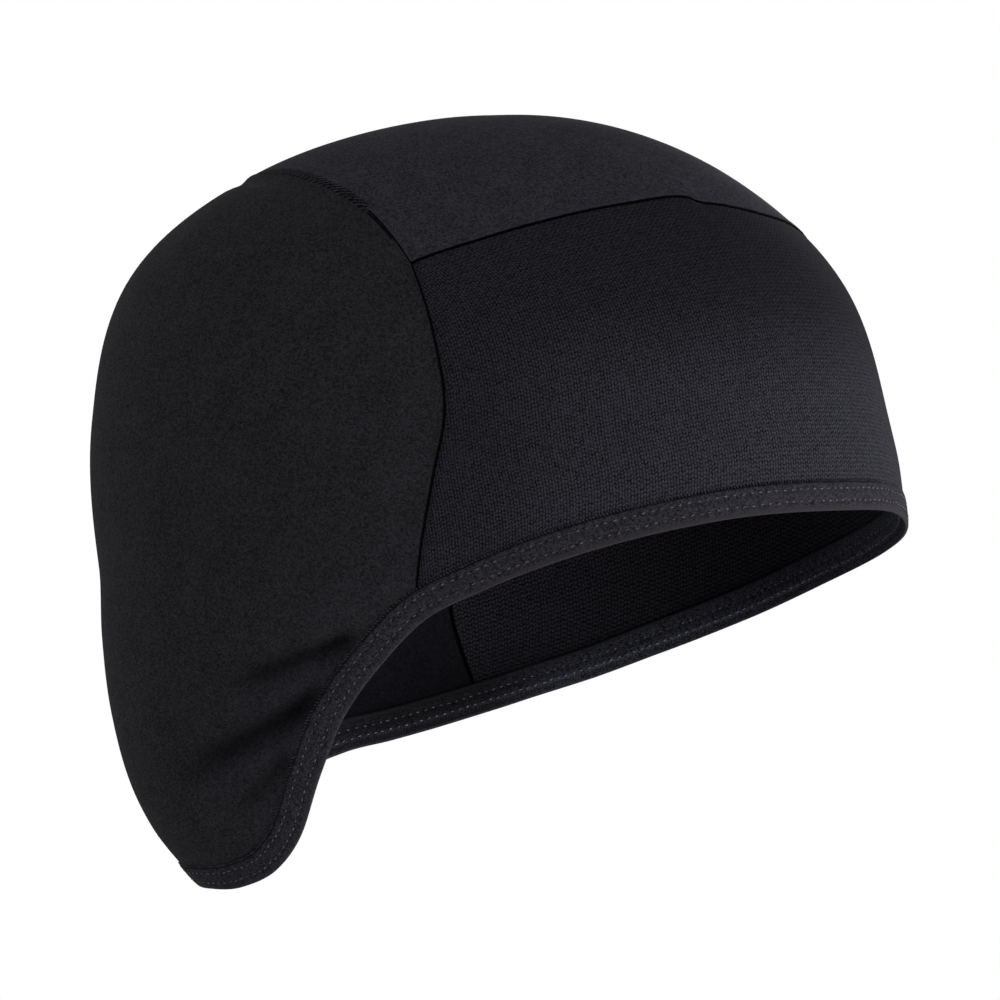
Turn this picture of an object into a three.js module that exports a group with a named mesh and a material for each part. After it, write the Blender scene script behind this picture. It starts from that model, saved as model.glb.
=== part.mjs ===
import * as THREE from 'three';
import { mergeVertices } from 'three/addons/utils/BufferGeometryUtils.js';

// A thermal skull cap of four stretch panels and a bound edge, in the form it has on a head.
// Millimetres, +Z up. The forehead faces -Y and the wearer's left is +X.
// The origin is the inside of the crown, where the head touches it.
//
// Places on the cap are given by two angles seen from the middle of the head. The bearing turns
// from 0 at the forehead to 180 at the nape, positive to the wearer's left. The drop grows from
// 0 at the crown downwards. The map of the cap is the flat plane that has the drop as its radius
// and the bearing as its direction, so curves and panels can cross the crown.

// Driving dimensions: the cloth's thickness, the clear gap at a seam and under the binding, and
// how far the top panel stops short of the corners where three seams meet.
const CLOTH = 1.2;
const GAP = 0.3;
const TIP_INSET = 0.45;
const CROWN_ABOVE_CENTRE = 93.5;

// The binding is a strip folded round the edge. Its fold holds the lower edge of the panels.
const BINDING_LEG = 0.9;
const BINDING_WIDTH = 7.4;
const BINDING_INSIDE_WIDTH = 9;
const BINDING_FOLD = 2.7;
const FOLD_ROUND = 0.6;
const FOLD_THICKNESS = 1.4;
const FOLD_SETBACK = 0.3;
const PANEL_EDGE = BINDING_FOLD + GAP;

// The head form inside the cloth: distance from the middle of the head at each drop.
const HEAD_FORM = [
  { drop: 0, front: 93.5, side: 93.5, back: 93.5 },
  { drop: 20, front: 93.5, side: 91, back: 94 },
  { drop: 40, front: 95, side: 85.5, back: 99 },
  { drop: 60, front: 97, side: 79.5, back: 104.5 },
  { drop: 80, front: 95, side: 75.5, back: 100 },
  { drop: 100, front: 99.5, side: 74, back: 97.5 },
  { drop: 110, front: 103, side: 74.5, back: 101 },
  { drop: 120, front: 106, side: 75, back: 106.5 },
  { drop: 130, front: 108, side: 76.5, back: 112.5 },
  { drop: 140, front: 110, side: 79, back: 116.5 },
  { drop: 150, front: 113, side: 83, back: 119 },
];

// How square the level sections are; 2 is a plain ellipse.
const FOREHEAD_SQUARENESS = 2.2;
const BACK_SQUARENESS = 2.15;
const ROUND_CROWN_DROP = 60;

// The lower edge. The cap sits a little turned, so the two ears' curves differ.
const HEM = [
  { bearing: 0, right: 94.5, left: 94.5 },
  { bearing: 15, right: 95, left: 95.5 },
  { bearing: 30, right: 97.5, left: 98.5 },
  { bearing: 45, right: 100.5, left: 104 },
  { bearing: 60, right: 105, left: 110.5 },
  { bearing: 75, right: 110.5, left: 118.5 },
  { bearing: 90, right: 116.5, left: 123 },
  { bearing: 100, right: 120.5, left: 125.5 },
  { bearing: 110, right: 127, left: 127 },
  { bearing: 120, right: 133.5, left: 128.5 },
  { bearing: 130, right: 141, left: 129 },
  { bearing: 140, right: 146, left: 131 },
  { bearing: 150, right: 147.5, left: 138 },
  { bearing: 160, right: 146, left: 142 },
  { bearing: 170, right: 144, left: 142.5 },
  { bearing: 180, right: 142, left: 142 },
];

// The seam in front of the ear, upwards from the edge to the corner of the forehead panel.
const SIDE_SEAM_FOOT = { right: 101, left: 98.5 };
const SIDE_SEAM = {
  right: [
    { bearing: 99.5, drop: 107 },
    { bearing: 97, drop: 96 },
    { bearing: 95, drop: 85 },
    { bearing: 97.5, drop: 71 },
    { bearing: 102.5, drop: 59 },
  ],
  left: [
    { bearing: 103, drop: 110 },
    { bearing: 104.5, drop: 100 },
    { bearing: 101, drop: 85 },
    { bearing: 100, drop: 71 },
    { bearing: 102.5, drop: 59 },
  ],
};

// The same seam goes on over the crown to the seam at the centre of the back.
const CROWN_SEAM = [
  { bearing: 102.5, drop: 59 },
  { bearing: 108, drop: 53 },
  { bearing: 115, drop: 48 },
  { bearing: 123, drop: 44.5 },
  { bearing: 135, drop: 41.5 },
  { bearing: 155, drop: 39.5 },
  { bearing: 180, drop: 39 },
];

// The seam between the forehead panel and the top panel.
const FOREHEAD_SEAM = [
  { bearing: 102.5, right: 59, left: 59 },
  { bearing: 90, right: 54.5, left: 54.5 },
  { bearing: 75, right: 51, left: 51 },
  { bearing: 60, right: 49, left: 49.5 },
  { bearing: 47.5, right: 48, left: 49.5 },
  { bearing: 42, right: 49.5, left: 49.5 },
  { bearing: 25, right: 51, left: 51 },
  { bearing: 0, right: 52, left: 52 },
];

// Folds in the loose cloth behind the right ear, and the small ridge over the forehead seam.
// Each runs along a curve through three places, given as bearing and drop. A negative depth is
// a ridge. A fold swells from a share of its depth at its start and fades towards its end, both
// over a fraction of its length.
const FOLDS = [
  { depth: 2.2, halfWidth: 4.5, start: [-112, 119], middle: [-124, 123], end: [-139, 122] },
  { depth: 3, halfWidth: 5.5, start: [-119, 126.5], middle: [-134, 131], end: [-154, 131.5] },
  { depth: 1.2, halfWidth: 4.5, start: [-130, 135], middle: [-140, 139], end: [-152, 142] },
  { depth: -0.8, halfWidth: 3, start: [-56, 41], middle: [-47, 42.5], end: [-38, 45] },
];
const FOLD_PIECES = 16;
const FOLD_REACH = 2.5;
const FOLD_START_SHARE = 0.3;
const FOLD_SWELL_LENGTH = 1 / 6;
const FOLD_FADE_LENGTH = 0.4;
const FOLD_FADE_AT_EDGE = 9;

// The elastic binding draws the cloth in, so its outer face lies level with the panels.
const EDGE_DRAW_IN = 1.2;
const EDGE_DRAW_FULL = 4;
const EDGE_DRAW_NONE = 18;
const EDGE_SEARCH_DROP = 25;

// Cells of each panel, along the lower edge and upwards, and stations along the binding.
const SIDE_CELLS = { along: 20, up: 26 };
const FOREHEAD_CELLS = { along: 34, up: 14 };
const TOP_CELLS = { along: 34, up: 12 };
const BINDING_STATIONS = 104;
const ROWS_TOWARDS_EDGE = 1.25;

// Steps for measuring curves and slopes on the cloth
const CURVE_SAMPLES = 160;
const EDGE_SAMPLES_PER_STATION = 8;
const SMALL_ANGLE = 0.05;
const LEAST_DROP = 0.5;
const PROBE = 0.02;
const MERGE_DISTANCE = 0.0001;

const CENTRE = new THREE.Vector3(0, 0, -CROWN_ABOVE_CENTRE);
const RIGHT = -1;
const LEFT = 1;

// Materials, from the photograph
const brushedCloth = new THREE.MeshStandardMaterial({ color: 0x1d1c20, roughness: 0.92, metalness: 0 });
const topCloth = new THREE.MeshStandardMaterial({ color: 0x242428, roughness: 0.92, metalness: 0 });
const ribbedCloth = new THREE.MeshStandardMaterial({ color: 0x28282d, roughness: 0.88, metalness: 0 });
const bindingCloth = new THREE.MeshStandardMaterial({ color: 0x2a282b, roughness: 0.9, metalness: 0 });

// Reads one column of a table at a key between its rows, on a smooth curve that starts level.
function readTable(rows, keyName, valueName, key) {
  const last = rows.length - 1;
  const at = Math.min(Math.max(key, rows[0][keyName]), rows[last][keyName]);
  let row = 0;
  while (row < last - 1 && rows[row + 1][keyName] <= at) row += 1;
  const slope = (index) => {
    if (index === 0) return 0;
    const before = rows[index - 1];
    const after = rows[Math.min(index + 1, last)];
    return (after[valueName] - before[valueName]) / (after[keyName] - before[keyName]);
  };
  const low = rows[row];
  const high = rows[row + 1];
  const step = high[keyName] - low[keyName];
  const t = (at - low[keyName]) / step;
  const rest = 1 - t;
  return low[valueName] * (1 + 2 * t) * rest * rest + high[valueName] * t * t * (3 - 2 * t)
    + slope(row) * step * t * rest * rest - slope(row + 1) * step * t * t * rest;
}

function smoothStep(value) {
  const t = Math.min(Math.max(value, 0), 1);
  return t * t * (3 - 2 * t);
}

// Distance from the middle of the head to the inside of the cloth.
function headReach(bearing, drop) {
  const cosine = Math.cos(THREE.MathUtils.degToRad(bearing));
  const sine = Math.abs(Math.sin(THREE.MathUtils.degToRad(bearing)));
  const isFront = cosine > 0;
  const end = readTable(HEAD_FORM, 'drop', isFront ? 'front' : 'back', drop);
  const side = readTable(HEAD_FORM, 'drop', 'side', drop);
  const squareness = isFront ? FOREHEAD_SQUARENESS : BACK_SQUARENESS;
  const power = 2 + (squareness - 2) * smoothStep(drop / ROUND_CROWN_DROP);
  return (Math.abs(cosine / end) ** power + (sine / side) ** power) ** (-1 / power);
}

// The inside of the cloth before any fold.
function plainPoint(bearing, drop) {
  const around = THREE.MathUtils.degToRad(bearing);
  const down = THREE.MathUtils.degToRad(drop);
  const reach = headReach(bearing, drop);
  const level = reach * Math.sin(down);
  return new THREE.Vector3(
    CENTRE.x + level * Math.sin(around),
    CENTRE.y - level * Math.cos(around),
    CENTRE.z + reach * Math.cos(down),
  );
}

function hemDrop(bearing) {
  return readTable(HEM, 'bearing', bearing < 0 ? 'right' : 'left', Math.abs(bearing));
}

// Outward direction and the two surface directions, from small steps on a surface function.
function surfaceFrame(surface, bearing, drop) {
  const safeDrop = Math.max(drop, LEAST_DROP);
  const turn = surface(bearing + SMALL_ANGLE, safeDrop).sub(surface(bearing - SMALL_ANGLE, safeDrop));
  const fall = surface(bearing, safeDrop + SMALL_ANGLE).sub(surface(bearing, safeDrop - SMALL_ANGLE));
  turn.divideScalar(2 * SMALL_ANGLE);
  fall.divideScalar(2 * SMALL_ANGLE);
  const outward = new THREE.Vector3().crossVectors(fall, turn).normalize();
  return { turn, fall, outward };
}

// A place inside the lower edge, at a distance measured on the cloth square to the edge.
function insideHem(bearing, distance) {
  const drop = hemDrop(bearing);
  const ahead = plainPoint(bearing + SMALL_ANGLE, hemDrop(bearing + SMALL_ANGLE));
  const behind = plainPoint(bearing - SMALL_ANGLE, hemDrop(bearing - SMALL_ANGLE));
  const alongEdge = ahead.sub(behind).normalize();
  const { turn, fall, outward } = surfaceFrame(plainPoint, bearing, drop);
  const inward = new THREE.Vector3().crossVectors(outward, alongEdge);
  if (inward.dot(fall) > 0) inward.negate();
  const turnSquare = turn.dot(turn);
  const fallSquare = fall.dot(fall);
  const shared = turn.dot(fall);
  const determinant = turnSquare * fallSquare - shared * shared;
  const inwardTurn = inward.dot(turn);
  const inwardFall = inward.dot(fall);
  return {
    bearing: bearing + distance * (inwardTurn * fallSquare - inwardFall * shared) / determinant,
    drop: drop + distance * (inwardFall * turnSquare - inwardTurn * shared) / determinant,
  };
}

const hemLine = Array.from({ length: 2 * CURVE_SAMPLES }, (_, index) => {
  const bearing = -180 + 360 * index / (2 * CURVE_SAMPLES);
  return plainPoint(bearing, hemDrop(bearing));
});

// A place on the curve through a fold's three places.
function foldPlace(fold, fraction) {
  const rest = 1 - fraction;
  const along = (index) => rest * (rest - fraction) * fold.start[index]
    + 4 * rest * fraction * fold.middle[index]
    + fraction * (fraction - rest) * fold.end[index];
  return plainPoint(along(0), along(1));
}

const foldLines = FOLDS.map((fold) => Array.from(
  { length: FOLD_PIECES + 1 },
  (_, index) => foldPlace(fold, index / FOLD_PIECES),
));

// How far the folds push the cloth inwards at a place, away from the edge.
function foldDepth(point) {
  let depth = 0;
  FOLDS.forEach((fold, index) => {
    const line = foldLines[index];
    const nearest = { distance: Infinity, fraction: 0 };
    for (let piece = 0; piece < FOLD_PIECES; piece += 1) {
      const segment = new THREE.Line3(line[piece], line[piece + 1]);
      const part = segment.closestPointToPointParameter(point, true);
      const distance = segment.at(part, new THREE.Vector3()).distanceTo(point);
      if (distance < nearest.distance) {
        nearest.distance = distance;
        nearest.fraction = (piece + part) / FOLD_PIECES;
      }
    }
    const offset = nearest.distance / fold.halfWidth;
    if (offset > FOLD_REACH) return;
    const swell = smoothStep(FOLD_START_SHARE + nearest.fraction / FOLD_SWELL_LENGTH);
    const fade = smoothStep((1 - nearest.fraction) / FOLD_FADE_LENGTH);
    depth += fold.depth * swell * fade * Math.exp(-offset * offset);
  });
  return depth;
}

// The inside of the cloth with its folds, drawn in by the binding.
function foldedPoint(bearing, drop) {
  const point = plainPoint(bearing, drop);
  const folds = foldDepth(point);
  const nearEdge = hemDrop(bearing) - drop < EDGE_SEARCH_DROP;
  if (folds === 0 && !nearEdge) return point;
  const toEdge = nearEdge ? Math.min(...hemLine.map((place) => place.distanceTo(point))) : EDGE_DRAW_NONE;
  const drawIn = EDGE_DRAW_IN * smoothStep((EDGE_DRAW_NONE - toEdge) / (EDGE_DRAW_NONE - EDGE_DRAW_FULL));
  const shown = folds * smoothStep((toEdge - BINDING_WIDTH) / FOLD_FADE_AT_EDGE);
  const { outward } = surfaceFrame(plainPoint, bearing, drop);
  return point.addScaledVector(outward, -(shown + drawIn));
}

// A place on or off the cloth: out is measured outwards from its inside.
function clothPoint(place, out) {
  const drop = Math.hypot(place.x, place.y);
  const bearing = THREE.MathUtils.radToDeg(Math.atan2(place.x, place.y));
  const { outward } = surfaceFrame(foldedPoint, bearing, drop);
  return foldedPoint(bearing, drop).addScaledVector(outward, out);
}

function mapPlace(bearing, drop) {
  const around = THREE.MathUtils.degToRad(bearing);
  return new THREE.Vector2(drop * Math.sin(around), drop * Math.cos(around));
}

// A curve over the map that is read by its length on the cloth, from 0 to 1.
function lengthCurve(places) {
  const lengths = [0];
  const points = places.map((place) => clothPoint(place, 0));
  for (let index = 1; index < places.length; index += 1) {
    lengths.push(lengths[index - 1] + points[index].distanceTo(points[index - 1]));
  }
  const total = lengths[lengths.length - 1];
  return (fraction) => {
    const wanted = Math.min(Math.max(fraction, 0), 1) * total;
    let index = 1;
    while (index < lengths.length - 1 && lengths[index] < wanted) index += 1;
    const part = (wanted - lengths[index - 1]) / (lengths[index] - lengths[index - 1]);
    return places[index - 1].clone().lerp(places[index], part);
  };
}

function seamPlaces(controls) {
  return new THREE.SplineCurve(controls).getPoints(CURVE_SAMPLES);
}

function hemPlaces(from, to, distance) {
  return Array.from({ length: CURVE_SAMPLES + 1 }, (_, index) => {
    const inside = insideHem(from + (to - from) * index / CURVE_SAMPLES, distance);
    return mapPlace(inside.bearing, inside.drop);
  });
}

function sideSeamPlaces(side) {
  const hand = side === RIGHT ? 'right' : 'left';
  const foot = insideHem(side * SIDE_SEAM_FOOT[hand], PANEL_EDGE);
  const rows = SIDE_SEAM[hand].map((row) => mapPlace(side * row.bearing, row.drop));
  return seamPlaces([mapPlace(foot.bearing, foot.drop), ...rows]);
}

function crownSeamPlaces(side) {
  return seamPlaces(CROWN_SEAM.map((row) => mapPlace(side * row.bearing, row.drop)));
}

function foreheadSeamPlaces() {
  const right = FOREHEAD_SEAM.map((row) => mapPlace(-row.bearing, row.right));
  const left = FOREHEAD_SEAM.slice(0, -1).reverse().map((row) => mapPlace(row.bearing, row.left));
  return seamPlaces([...right, ...left]);
}

// The seam at the centre of the back, upwards from the edge.
function backSeamPlaces(foot) {
  const top = CROWN_SEAM[CROWN_SEAM.length - 1].drop;
  return Array.from({ length: CURVE_SAMPLES }, (_, index) => {
    const part = (index + 1) / CURVE_SAMPLES;
    return foot.clone().lerp(mapPlace(180, top), part);
  });
}

// A patch of the map between four curves that meet at their ends.
function fourSidedPatch(bottom, top, start, end) {
  const corners = [bottom(0), bottom(1), top(0), top(1)];
  return (u, v) => {
    const place = bottom(u).multiplyScalar(1 - v).addScaledVector(top(u), v);
    place.addScaledVector(start(v), 1 - u).addScaledVector(end(v), u);
    place.addScaledVector(corners[0], -(1 - u) * (1 - v)).addScaledVector(corners[1], -u * (1 - v));
    return place.addScaledVector(corners[2], -(1 - u) * v).addScaledVector(corners[3], -u * v);
  };
}

// How far along the patch an edge moves in to lie half a gap from its seam.
function seamInset(inward, alongEdge) {
  const edge = clothPoint(inward(0), 0);
  const tangent = clothPoint(alongEdge(PROBE), 0).sub(clothPoint(alongEdge(-PROBE), 0)).normalize();
  const probe = clothPoint(inward(PROBE), 0).sub(edge);
  const away = probe.addScaledVector(tangent, -probe.dot(tangent)).length();
  return PROBE * (GAP / 2) / away;
}

// The corner places of a panel's cells, with each seamed edge moved in.
function panelGrid(patch, cells, seamed) {
  const clampInside = (value) => Math.min(Math.max(value, 0), 1);
  const grid = [];
  for (let column = 0; column <= cells.along; column += 1) {
    const u = column / cells.along;
    const places = [];
    for (let row = 0; row <= cells.up; row += 1) {
      const v = (row / cells.up) ** (seamed.bottom ? 1 : ROWS_TOWARDS_EDGE);
      const sideways = (step) => clampInside(u + step);
      const upright = (step) => clampInside(v + step);
      const startInset = seamed.start ? seamInset((s) => patch(s, v), (s) => patch(0, upright(s))) : 0;
      const endInset = seamed.end ? seamInset((s) => patch(1 - s, v), (s) => patch(1, upright(s))) : 0;
      const topInset = seamInset((s) => patch(u, 1 - s), (s) => patch(sideways(s), 1));
      const bottomInset = seamed.bottom
        ? seamInset((s) => patch(u, s), (s) => patch(sideways(s), 0)) : 0;
      places.push(patch(
        startInset + (1 - startInset - endInset) * u,
        bottomInset + (1 - bottomInset - topInset) * v,
      ));
    }
    grid.push(places);
  }
  return grid;
}

// A closed body from points and triangles, shared points merged and flat triangles dropped.
function closedGeometry(points, triangles) {
  const rough = new THREE.BufferGeometry();
  rough.setAttribute('position', new THREE.Float32BufferAttribute(points.flatMap((p) => p.toArray()), 3));
  rough.setIndex(triangles.flat());
  const merged = mergeVertices(rough, MERGE_DISTANCE);
  const indices = merged.index.array;
  const kept = [];
  for (let start = 0; start < indices.length; start += 3) {
    const [a, b, c] = indices.slice(start, start + 3);
    if (a !== b && b !== c && c !== a) kept.push(a, b, c);
  }
  merged.setIndex(kept);
  merged.computeVertexNormals();
  return merged;
}

// A wall of cloth over a grid of places, closed round its four edges.
function clothWall(grid) {
  const columns = grid.length;
  const rows = grid[0].length;
  const points = [];
  [CLOTH, 0].forEach((out) => grid.forEach((column) => {
    column.forEach((place) => points.push(clothPoint(place, out)));
  }));
  const layer = columns * rows;
  const index = (column, row, inside) => inside * layer + column * rows + row;
  const triangles = [];
  const addQuad = (a, b, c, d) => triangles.push([a, b, c], [a, c, d]);
  for (let column = 0; column < columns - 1; column += 1) {
    for (let row = 0; row < rows - 1; row += 1) {
      const corners = [[column, row], [column + 1, row], [column + 1, row + 1], [column, row + 1]];
      addQuad(...corners.map(([c, r]) => index(c, r, 0)));
      addQuad(...corners.reverse().map(([c, r]) => index(c, r, 1)));
    }
  }
  const rim = [];
  for (let column = 0; column < columns; column += 1) rim.push([column, 0]);
  for (let row = 1; row < rows; row += 1) rim.push([columns - 1, row]);
  for (let column = columns - 2; column >= 0; column -= 1) rim.push([column, rows - 1]);
  for (let row = rows - 2; row > 0; row -= 1) rim.push([0, row]);
  rim.forEach(([column, row], place) => {
    const [nextColumn, nextRow] = rim[(place + 1) % rim.length];
    addQuad(
      index(column, row, 0),
      index(column, row, 1),
      index(nextColumn, nextRow, 1),
      index(nextColumn, nextRow, 0),
    );
  });
  return closedGeometry(points, triangles);
}

function sidePanel(side) {
  const foot = side === RIGHT ? SIDE_SEAM_FOOT.right : SIDE_SEAM_FOOT.left;
  const bottom = lengthCurve(hemPlaces(side * foot, side * 180, PANEL_EDGE));
  const top = lengthCurve(crownSeamPlaces(side));
  const start = lengthCurve(sideSeamPlaces(side));
  const end = lengthCurve([bottom(1), ...backSeamPlaces(bottom(1))]);
  const patch = fourSidedPatch(bottom, top, start, end);
  return clothWall(panelGrid(patch, SIDE_CELLS, { start: true, end: true }));
}

function foreheadPanel() {
  const bottom = lengthCurve(hemPlaces(-SIDE_SEAM_FOOT.right, SIDE_SEAM_FOOT.left, PANEL_EDGE));
  const top = lengthCurve(foreheadSeamPlaces());
  const start = lengthCurve(sideSeamPlaces(RIGHT));
  const end = lengthCurve(sideSeamPlaces(LEFT));
  const patch = fourSidedPatch(bottom, top, start, end);
  return clothWall(panelGrid(patch, FOREHEAD_CELLS, { start: true, end: true }));
}

// The top panel is a lens with a point at each corner of the forehead panel.
function topPanel() {
  const front = lengthCurve(foreheadSeamPlaces());
  const back = lengthCurve([...crownSeamPlaces(RIGHT), ...crownSeamPlaces(LEFT).reverse().slice(1)]);
  const patch = (u, v) => back(u).multiplyScalar(v).addScaledVector(front(u), 1 - v);
  const grid = panelGrid(patch, TOP_CELLS, { bottom: true });
  const last = TOP_CELLS.along;
  const probeLength = clothPoint(patch(PROBE, 0.5), 0).distanceTo(clothPoint(patch(0, 0.5), 0));
  const tip = PROBE * TIP_INSET / probeLength;
  grid[0] = grid[0].map(() => patch(tip, 0.5));
  grid[last] = grid[last].map(() => patch(1 - tip, 0.5));
  return clothWall(grid);
}

// The binding folds round the panels' edge and thins towards its fold: its section, as distance
// inside the edge and distance outwards from the inside of the cloth.
function bindingSection() {
  const outside = CLOTH + GAP + BINDING_LEG;
  const inside = -GAP - BINDING_LEG;
  const foldOutside = outside - FOLD_SETBACK;
  return [
    { across: BINDING_WIDTH, out: outside },
    { across: BINDING_FOLD, out: outside },
    { across: FOLD_ROUND, out: foldOutside },
    { across: 0, out: foldOutside - FOLD_THICKNESS / 2 },
    { across: FOLD_ROUND, out: foldOutside - FOLD_THICKNESS },
    { across: BINDING_FOLD, out: inside },
    { across: BINDING_INSIDE_WIDTH, out: inside },
    { across: BINDING_INSIDE_WIDTH, out: -GAP },
    { across: BINDING_FOLD, out: -GAP },
    { across: BINDING_FOLD, out: CLOTH + GAP },
    { across: BINDING_WIDTH, out: CLOTH + GAP },
  ];
}

// Bearings at equal lengths along the lower edge.
function hemBearings(count) {
  const samples = EDGE_SAMPLES_PER_STATION * count;
  const bearings = Array.from({ length: samples + 1 }, (_, index) => -180 + 360 * index / samples);
  const points = bearings.map((bearing) => plainPoint(bearing, hemDrop(bearing)));
  const lengths = [0];
  for (let index = 1; index <= samples; index += 1) {
    lengths.push(lengths[index - 1] + points[index].distanceTo(points[index - 1]));
  }
  return Array.from({ length: count }, (_, station) => {
    const wanted = lengths[samples] * station / count;
    let index = 1;
    while (lengths[index] < wanted) index += 1;
    const part = (wanted - lengths[index - 1]) / (lengths[index] - lengths[index - 1]);
    return bearings[index - 1] + part * (bearings[index] - bearings[index - 1]);
  });
}

function hemBinding() {
  const section = bindingSection();
  const bearings = hemBearings(BINDING_STATIONS);
  const points = bearings.flatMap((bearing) => section.map(({ across, out }) => {
    const inside = insideHem(bearing, across);
    return clothPoint(mapPlace(inside.bearing, inside.drop), out);
  }));
  const sides = section.length;
  const triangles = [];
  bearings.forEach((_, station) => {
    const here = station * sides;
    const next = ((station + 1) % bearings.length) * sides;
    for (let corner = 0; corner < sides; corner += 1) {
      const after = (corner + 1) % sides;
      triangles.push([here + corner, here + after, next + after]);
      triangles.push([here + corner, next + after, next + corner]);
    }
  });
  return closedGeometry(points, triangles);
}

// Turns a body's faces outwards where they were wound the other way.
function facingOut(geometry) {
  const position = geometry.attributes.position;
  const indices = geometry.index.array;
  let volume = 0;
  const corner = (index) => new THREE.Vector3().fromBufferAttribute(position, indices[index]);
  for (let start = 0; start < indices.length; start += 3) {
    volume += corner(start).dot(corner(start + 1).cross(corner(start + 2))) / 6;
  }
  if (volume < 0) {
    for (let start = 0; start < indices.length; start += 3) {
      [indices[start], indices[start + 1]] = [indices[start + 1], indices[start]];
    }
    geometry.computeVertexNormals();
  }
  return geometry;
}

function piece(name, geometry, material) {
  const mesh = new THREE.Mesh(facingOut(geometry), material);
  mesh.name = name;
  return mesh;
}

const skullCap = new THREE.Group();
skullCap.add(
  piece('forehead_panel', foreheadPanel(), ribbedCloth),
  piece('top_panel', topPanel(), topCloth),
  piece('side_panel_right', sidePanel(RIGHT), brushedCloth),
  piece('side_panel_left', sidePanel(LEFT), brushedCloth),
  piece('hem_binding', hemBinding(), bindingCloth),
);

export default skullCap;
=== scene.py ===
"""A thermal skull cap of four stretch panels and a bound edge, in the form it has on a head.

The forehead faces -Y and the wearer's left is +X. The form is worked out in millimetres, as its
tables are, and each mesh is made in metres. Places on the cap are given by two angles seen from the
middle of the head: the bearing, from 0 at the forehead to 180 at the nape, positive to the wearer's
left, and the drop, from 0 at the crown downwards. The map of the cap is the plane that has the drop
as its radius and the bearing as its direction.
"""

import math
from collections import namedtuple

import bpy
import numpy as np
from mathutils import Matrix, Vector


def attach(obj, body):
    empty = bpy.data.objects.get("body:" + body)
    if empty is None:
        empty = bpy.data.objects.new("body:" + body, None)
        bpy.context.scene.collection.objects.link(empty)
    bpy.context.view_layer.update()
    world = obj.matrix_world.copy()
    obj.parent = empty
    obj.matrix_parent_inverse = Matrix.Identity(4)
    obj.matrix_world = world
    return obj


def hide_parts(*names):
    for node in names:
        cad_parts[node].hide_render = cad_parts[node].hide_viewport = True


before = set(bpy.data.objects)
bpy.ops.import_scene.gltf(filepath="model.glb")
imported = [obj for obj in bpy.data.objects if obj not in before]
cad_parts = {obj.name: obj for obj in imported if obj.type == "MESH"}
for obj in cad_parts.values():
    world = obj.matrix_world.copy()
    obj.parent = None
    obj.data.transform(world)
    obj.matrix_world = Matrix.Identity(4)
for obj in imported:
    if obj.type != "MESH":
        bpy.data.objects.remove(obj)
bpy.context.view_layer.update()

MM = 0.001
RIGHT = -1
LEFT = 1


def table(columns, *rows):
    """A table as one array for each named column."""
    return dict(zip(columns.split(), np.array(rows, float).T))


# The head form inside the cloth: distance from the middle of the head at each drop
HEAD_FORM = table(
    "drop front side back",
    (0, 93.5, 93.5, 93.5),
    (20, 93.5, 91, 94),
    (40, 95, 85.5, 99),
    (60, 97, 79.5, 104.5),
    (80, 95, 75.5, 100),
    (100, 99.5, 74, 97.5),
    (110, 103, 74.5, 101),
    (120, 106, 75, 106.5),
    (130, 108, 76.5, 112.5),
    (140, 110, 79, 116.5),
    (150, 113, 83, 119),
)
CENTRE = np.array((0, 0, -93.5))
FOREHEAD_SQUARENESS = 2.2
BACK_SQUARENESS = 2.15
ROUND_CROWN_DROP = 60

# The lower edge
HEM = table(
    "bearing right left",
    (0, 95.2, 95.2),
    (15, 95.3, 95.8),
    (30, 97.5, 98.5),
    (45, 100.5, 104),
    (60, 105, 110.6),
    (75, 110.5, 117.8),
    (90, 116.5, 123.4),
    (100, 120.5, 126.1),
    (110, 127, 127.9),
    (120, 133.5, 128.8),
    (130, 140.7, 129),
    (140, 146.3, 131),
    (150, 148, 138),
    (160, 146.7, 142),
    (170, 144, 142.5),
    (180, 142, 142),
)

# The seam in front of the ear, upwards from the edge to the corner of the forehead panel
SIDE_SEAM_FOOT = {RIGHT: 101, LEFT: 98.5}
SIDE_SEAM = {
    RIGHT: [(99.5, 107), (97, 96), (95, 85), (97.5, 71), (102.5, 59)],
    LEFT: [(103, 110), (104.5, 100), (101, 85), (100, 71), (102.5, 59)],
}

# The same seam goes on over the crown to the seam at the centre of the back
CROWN_SEAM = [(102.5, 59), (108, 53), (115, 48), (123, 44.5), (135, 41.5), (155, 39.5), (180, 39)]

# The seam between the forehead panel and the top panel
FOREHEAD_SEAM = table(
    "bearing right left",
    (102.5, 59, 59),
    (90, 54.5, 54.5),
    (75, 51, 51),
    (60, 49, 49.5),
    (47.5, 48, 49.5),
    (42, 49.5, 49.5),
    (25, 51, 51),
    (0, 52, 52),
)

# Folds in the loose cloth behind the right ear, and the small ridge over the forehead seam. Each
# runs along a curve through three places, given as bearing and drop, with its own half width above
# and below the curve. A negative depth is a ridge. Each fold also has a painted shade on the cloth
# above it, with its darkness and half width, and a painted highlight on the cloth below it.
Fold = namedtuple("Fold", "depth widths dark dark_half_width gleam places")
FOLDS = (
    Fold(2.2, (2.4, 4.5), 0.7, 2.4, 0.55, ((-113.5, 122.2), (-124.5, 123.7), (-142, 124.3))),
    Fold(3, (3, 5.5), 0.72, 3.4, 0.6, ((-121.5, 129), (-133.5, 131.8), (-158, 131.8))),
    Fold(1.3, (3, 4), 0.45, 2.2, 0.4, ((-133, 137), (-140, 138.3), (-151, 140.5))),
    Fold(-0.4, (1.4, 1.4), 0, 1, 0, ((-49, 44), (-45.5, 45), (-44, 47.5))),
)
FOLD_PIECES = 16
FOLD_REACH_WIDTHS = 3
FOLD_START_SHARE = 0.3
FOLD_RISE_LENGTH = 1 / 6
FOLD_FADE_LENGTH = 0.4
FOLD_FADE_AT_EDGE = 4
# How far above a fold the middle of its painted shade lies, how far below it its painted highlight
# lies, and the highlight's half width
FOLD_SHADE_ABOVE = 1
PAINTED_HIGHLIGHT_BELOW = 4.6
PAINTED_HIGHLIGHT_HALF_WIDTH = 2.5

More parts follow.
